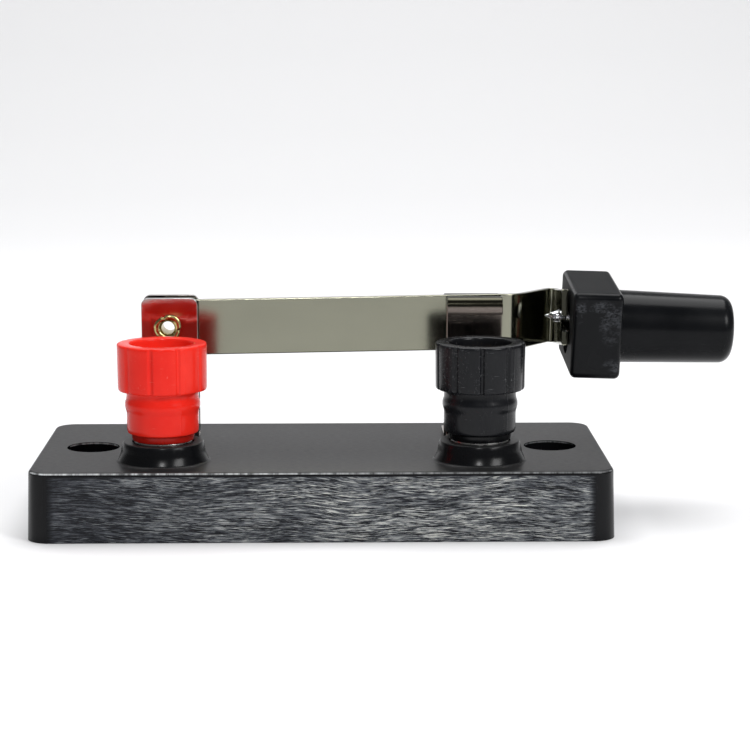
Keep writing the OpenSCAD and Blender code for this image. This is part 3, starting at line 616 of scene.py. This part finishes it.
def eyelet():
    """Hollow rivet: plain flange at the back, front end split and rolled over."""
    half = 2.7
    pts = [(1.25, -half - 0.42), (1.5, -half - 0.5), (2.15, -half - 0.44), (2.32, -half - 0.22), (2.3, -half - 0.02), (1.86, -half), (1.85, -half + 0.4),
           (1.85, 0.0), (1.85, half - 0.3), (1.88, half), (2.28, half + 0.02), (2.42, half + 0.14), (2.38, half + 0.36), (2.18, half + 0.5), (1.92, half + 0.52),
           (1.6, half + 0.42), (1.32, half + 0.22), (1.2, half - 0.2), (1.17, 0.0)]
    v, f = [], []
    n = 96
    for i, (r, s) in enumerate(pts):
        for k in range(n):
            a = 2 * math.pi * k / n
            rr, ss = r, s
            if s > half - 0.01:
                w = min(1.0, (r - 1.35) / 0.8)
                crack = max(0.0, math.cos(3 * a + 0.5)) ** 24
                rr = r + w * (0.10 * math.cos(3 * a + 0.5) * -1 + 0.05 * math.sin(2 * a)) - w * 0.22 * crack
                ss = s - 0.12 * w * crack + 0.04 * math.sin(5 * a)
            if s > half - 0.35:
                ss += EAR_OUT + rr * math.sin(a) * math.tan(rad(LEAN))
            v.append((PIVOT_X + rr * math.cos(a), BLADE_Y - ss, PIVOT_Z + rr * math.sin(a)))
    m = len(pts)
    for i in range(m):
        j = (i + 1) % m
        for k in range(n):
            l = (k + 1) % n
            f.append([i * n + k, i * n + l, j * n + l, j * n + k])
    return add("hinge_eyelet", v, f, M_EYELET, "base", ["pivot_rivet"], angle=45)


eyelet()

# ------------------------------------------------------------------ jaw
refine("jaw_leaf_front_sprung", ["jaw_leaf_front"], M_LEAF, "base", 0.14, 3, 50, shade=40)
refine("jaw_leaf_back_sprung", ["jaw_leaf_back"], M_LEAF, "base", 0.14, 3, 50, shade=40)

# ------------------------------------------------------------------ blade
B1X, B1R, B1A, TL, B2R, FL, FR = 32.5, 5.0, 57.0, 9.1, 1.1, 15.0, 7.0
B2A = B1A + 90
RISE = 0.9
S1 = B1R * rad(B1A)
S2 = S1 + TL
S3 = S2 + B2R * rad(B2A)
S4 = S3 + FL
E1 = (B1X + B1R * math.sin(rad(B1A)), BLADE_Y + B1R * (1 - math.cos(rad(B1A))))
E2 = (E1[0] + TL * math.cos(rad(B1A)), E1[1] + TL * math.sin(rad(B1A)))
C2 = (E2[0] + B2R * math.sin(rad(B1A)), E2[1] - B2R * math.cos(rad(B1A)))
Z0 = DECK + 20.9 + (B1X - PIVOT_X) * math.tan(rad(RISE))


def strip(s):
    if s < 0:
        x, y = B1X + s, BLADE_Y
    elif s < S1:
        a = s / B1R
        x, y = B1X + B1R * math.sin(a), BLADE_Y + B1R * (1 - math.cos(a))
    elif s < S2:
        x, y = E1[0] + (s - S1) * math.cos(rad(B1A)), E1[1] + (s - S1) * math.sin(rad(B1A))
    elif s < S3:
        a = rad(B1A) - (s - S2) / B2R
        x, y = C2[0] - B2R * math.sin(a), C2[1] + B2R * math.cos(a)
    else:
        x, y = C2[0] + B2R, C2[1] - (s - S3)
    if s < 0:
        z = Z0 + s * math.tan(rad(RISE))
    elif s < S3:
        z = Z0 - 0.02 * s
    else:
        z = Z0 - 0.02 * S3 + (s - S3) * math.tan(rad(FR))
    return Vector((x, y, z))


def slot_box():
    """Open slot from the flange's free end to the screw."""
    v = [tuple(HANDLE @ Vector((i, j, 1.1 + k))) for i in (-3, 3) for j in (-9, 0) for k in (-1.42, 1.42)]
    f = [[0, 1, 3, 2], [4, 6, 7, 5], [0, 4, 5, 1], [2, 3, 7, 6], [0, 2, 6, 4], [1, 5, 7, 3]]
    return add("slot", v, f, M_BASE, None)


def blade():
    W, T, E = 10.1, 1.2, 0.22
    # cross section, a strip with broken edges: (across thickness, up)
    def section(h, w):
        e = min(E, h * 0.9, w * 0.9)
        pts = []
        for (cx, cy, a0) in ((w - e, h - e, 0), (-w + e, h - e, 90), (-w + e, -h + e, 180), (w - e, -h + e, 270)):
            pts += arc(cx, cy, e, a0, a0 + 90, 4)
        return pts

    stations = []
    R = W / 2
    x_end = PIVOT_X + 0.45 - R
    L0 = -(B1X - x_end)
    for i in range(15):                                    # rounded end round the rivet
        a = math.pi / 2 * i / 14
        stations.append((L0 + R * (1 - math.cos(a)), max(0.35, R * math.sin(a))))
    s = L0 + R
    while s < -0.5:
        s += 1.5
        stations.append((min(s, -0.3), R))
    stations += [(S1 * i / 16, R) for i in range(17)]
    stations += [(S1 + TL * i / 6, R) for i in range(1, 7)]
    stations += [(S2 + (S3 - S2) * i / 22, R) for i in range(1, 23)]
    stations += [(S3 + FL * i / 8, R) for i in range(1, 8)] + [(S4 - 0.25, R), (S4 - 0.07, R - 0.06), (S4, R - 0.22)]
    v, f = [], []
    m = None
    for k, (s, h) in enumerate(stations):
        t = (strip(s + 0.12) - strip(s - 0.12)).normalized()
        u = (Vector((0, 0, 1)) - t.z * t).normalized()
        nrm = u.cross(t)
        p = strip(s)
        w = T / 2 - (0.16 if s == S4 else 0.04 if s == S4 - 0.07 else 0)
        sec = section(h, w)
        m = len(sec)
        for (a, b) in sec:
            q = p + nrm * a + u * b
            v.append((q.x, q.y, q.z))
    n = len(stations)
    for k in range(n - 1):
        for i in range(m):
            j = (i + 1) % m
            f.append([k * m + i, k * m + j, (k + 1) * m + j, (k + 1) * m + i])
    f.append(list(range(m))[::-1]); f.append([(n - 1) * m + i for i in range(m)])
    o = add("blade_strip", v, f, M_NICKEL, "blade_arm", ["blade"], angle=40)
    cut(o, [rods("c", (PIVOT_X, BLADE_Y, PIVOT_Z), (0, 1, 0), 1.93, 6, 64)])
    a, d = screw_line()
    cut(o, [rods("c", a, d, 1.42, 6, 48)])
    cut(o, [slot_box()])
    finish_mesh(o.data, 40)
    weigh(o)
    return o


# ------------------------------------------------------------------ handle
HANDLE = Matrix.Translation((44.5, BLADE_Y, DECK + 21.54)) @ Matrix.Rotation(rad(4.9), 4, "X") @ Matrix.Rotation(rad(1.9), 4, "Y")
SCREW = HANDLE @ Matrix.Translation((0, 0, 1.1)) @ Matrix.Rotation(rad(92.4), 4, "Y")


def screw_line():
    a = SCREW @ Vector((0, 0, 0))
    b = SCREW @ Vector((0, 0, 1))
    return tuple(a), tuple(b - a)


def handle():
    t, w, h, r = 8.9, 21.7 / 2, 15.6 / 2, 1.0
    # guard: rounded block from loops of a rounded rectangle
    def loop(x, inset):
        pts = []
        rr = max(0.25, 1.25 - inset)
        for (cy, cz, a0) in ((w - inset - rr, h - inset - rr, 0), (-w + inset + rr, h - inset - rr, 90), (-w + inset + rr, -h + inset + rr, 180), (w - inset - rr, -h + inset + rr, 270)):
            pts += [(x, p[0], p[1]) for p in arc(cy, cz, rr, a0, a0 + 90, 8)]
        return pts

    loops = [loop(r * (1 - math.sin(rad(a))), r * (1 - math.cos(rad(a)))) for a in (90, 75, 60, 45, 30, 15, 0)]
    loops += [loop(x, 0) for x in (2.5, 4.5, 6.5)]
    loops += [loop(t - r * (1 - math.sin(rad(a))), r * (1 - math.cos(rad(a)))) for a in (0, 15, 30, 45, 60, 75, 90)]
    v, f = [], []
    m = len(loops[0])
    for lp in loops:
        v += [tuple(HANDLE @ Vector(p)) for p in lp]
    for k in range(len(loops) - 1):
        for i in range(m):
            j = (i + 1) % m
            f.append([k * m + i, k * m + j, (k + 1) * m + j, (k + 1) * m + i])
    f.append(list(range(m))[::-1]); f.append([(len(loops) - 1) * m + i for i in range(m)])
    o = add("handle_moulding", v, f, M_HANDLE, "blade_arm", ["handle"], angle=30)

    # grip: slightly tapered, soft shoulder into the guard, rounded end
    r1, r2, L = 6.6, 6.15, 21.1
    prof = [(r1 + 0.45, t - 2), (r1 + 0.45, t - 0.1), (r1 + 0.28, t + 0.06), (r1 + 0.1, t + 0.2), (r1, t + 0.5)]
    prof += thin_out([(r1, t + 0.5), (r2, t + L - 2.2)], 1.5)[1:]
    prof += [(r2 - 2.2 + p[0], p[1]) for p in arc(0, t + L - 2.2, 2.2, 0, 90, 12)][1:]
    gv, gf = lathe(prof, 96, closed=False)
    G = HANDLE @ Matrix.Translation((0, 0, -0.3)) @ Matrix.Rotation(rad(90), 4, "Y")
    g = add("grip", [tuple(G @ Vector(p)) for p in gv], gf, M_HANDLE, None, angle=30)
    cut(o, [g], "UNION")
    axis = (HANDLE.to_3x3() @ Vector((1, 0, 0)))
    c = HANDLE @ Vector((2.5, 0, -0.3))
    cut(o, [rods("c", tuple(c), tuple(axis), 5.3, 7.0, 72)])
    a, d = screw_line()
    mid = Vector(a) + Vector(d) * 13
    cut(o, [rods("c", tuple(mid), d, 1.65, 34, 40)])
    end = Vector(a) + Vector(d) * 30
    cut(o, [rods("c", tuple(end), d, 3.2, 10, 48)])
    o.data.materials.clear(); o.data.materials.append(M_HANDLE)
    b = o.modifiers.new("round", "BEVEL")
    b.width = 0.18 * MM; b.segments = 2; b.limit_method = "ANGLE"; b.angle_limit = rad(50); b.use_clamp_overlap = True
    bpy.context.view_layer.update()
    bake(o)
    finish_mesh(o.data, 30)
    weigh(o)
    return o


def handle_screw():
    """Pointed tapping screw: coarse thread, pan head."""
    pitch = 1.55
    prof = [(0.03, -4.05)]
    z = -3.98
    while z < 24.6:
        prof.append((1.0, z)); z += pitch / 14
    prof += [(1.1, 24.7), (1.15, 25.0), (2.6, 25.0), (2.8, 25.15), (2.8, 25.9), (2.7, 26.3), (2.4, 26.75), (1.9, 27.05), (1.2, 27.2), (0.1, 27.25)]

    def shape(r, z, a, i):
        if r != 1.0:
            return r
        core = 1.02 if z > -2.0 else max(0.03, 1.02 * (z + 4.05) / 2.05)
        p = ((z / pitch) - a / (2 * math.pi)) % 1.0
        tooth = max(0.0, 1 - abs(2 * p - 1) * 2.6)
        height = 0.46 if z > -2.4 else 0.46 * max(0.15, (z + 4.05) / 1.65)
        fade = min(1.0, max(0.0, (24.0 - z) / 1.5))
        return core + height * tooth * fade

    v, f = lathe(prof, 48, closed=False, shape=shape)
    o = add("handle_tapping_screw", [tuple(SCREW @ Vector(p)) for p in v], f, M_CHROME, "blade_arm", ["handle_screw"], angle=50)
    return o


blade()
handle()
handle_screw()

# ------------------------------------------------------------------ anything still shown from the CAD gets a worked material
BY_SLOT = {"black_moulding": M_BASE, "black_gloss": M_HANDLE, "red_plastic": M_RED, "nickel_plate": M_NICKEL, "plated_steel": M_ZINC, "brass": M_BRASS, "bright_screw": M_CHROME}
for sp in frame["record"]["subparts"]:
    o = NODES[sp["node"]]
    if not o.hide_render:
        for i in range(max(1, len(o.material_slots))):
            if o.material_slots:
                o.material_slots[i].material = BY_SLOT[sp["material_slot"]]

# ------------------------------------------------------------------ stage, light, camera
def floor():
    m = Mat("pale_floor")
    m.b.inputs["Base Color"].default_value = (0.84, 0.84, 0.85, 1.0)
    m.set(Roughness=0.9, Specular_IOR_Level=0.1)
    v, f = [], []
    # a sheet that rises behind into a backdrop
    ys = [-1.2, -0.6, -0.3, -0.16, -0.08, 0.0, 0.2, 0.5] + [0.5 + 0.5 * math.sin(rad(a)) for a in range(10, 91, 10)]
    zs = [0.0] * 8 + [0.5 * (1 - math.cos(rad(a))) for a in range(10, 91, 10)]
    ys.append(1.0); zs.append(2.2)
    for yy, z0 in zip(ys, zs):
        v += [(-1.6, yy, z0 - 0.00002), (1.6, yy, z0 - 0.00002)]
    for i in range(len(ys) - 1):
        f.append([2 * i, 2 * i + 1, 2 * i + 3, 2 * i + 2])
    o = add("floor_sheet", v, f, m.mat, None, mm=False, angle=180)
    return o


floor()


def area(name, loc, target, size, power, color=(1, 1, 1), visible=True):
    d = bpy.data.lights.new(name, "AREA")
    d.shape = "RECTANGLE"
    d.size, d.size_y = size
    d.energy = power
    d.color = color
    o = bpy.data.objects.new(name, d)
    o.location = loc
    o.rotation_euler = (Vector(target) - Vector(loc)).to_track_quat("-Z", "Y").to_euler()
    o.visible_camera = False
    bpy.context.scene.collection.objects.link(o)
    return o


area("top_softbox", (0.0, 0.24, 0.85), (0.0, 0.06, 0.0), (0.9, 0.7), 8.6)
area("key_softbox", (0.52, -0.50, 0.48), (0.0, 0.0, 0.02), (0.30, 0.30), 3.3)
area("spark_softbox", (-0.02, -0.62, 0.48), (0.0, 0.0, 0.02), (0.09, 0.09), 1.3)

world = bpy.data.worlds.new("studio")
world.use_nodes = True
world.node_tree.nodes["Background"].inputs[0].default_value = (1.0, 1.0, 1.0, 1)
world.node_tree.nodes["Background"].inputs[1].default_value = 0.15
bpy.context.scene.world = world

cam = bpy.data.cameras.new("camera")
cam.sensor_width = 36.0
cam.lens = 2237.0 / 750.0 * 36.0
cam.clip_start, cam.clip_end = 0.01, 10.0
co = bpy.data.objects.new("camera", cam)
co.location = (0.00202, -0.3967, 0.0911)
co.rotation_euler = Euler((rad(90 - 9.43), 0.0, rad(-1.09)), "XYZ")
bpy.context.scene.collection.objects.link(co)
bpy.context.scene.camera = co
bpy.context.scene.view_settings.view_transform = "Standard"
bpy.context.scene.view_settings.look = "None"
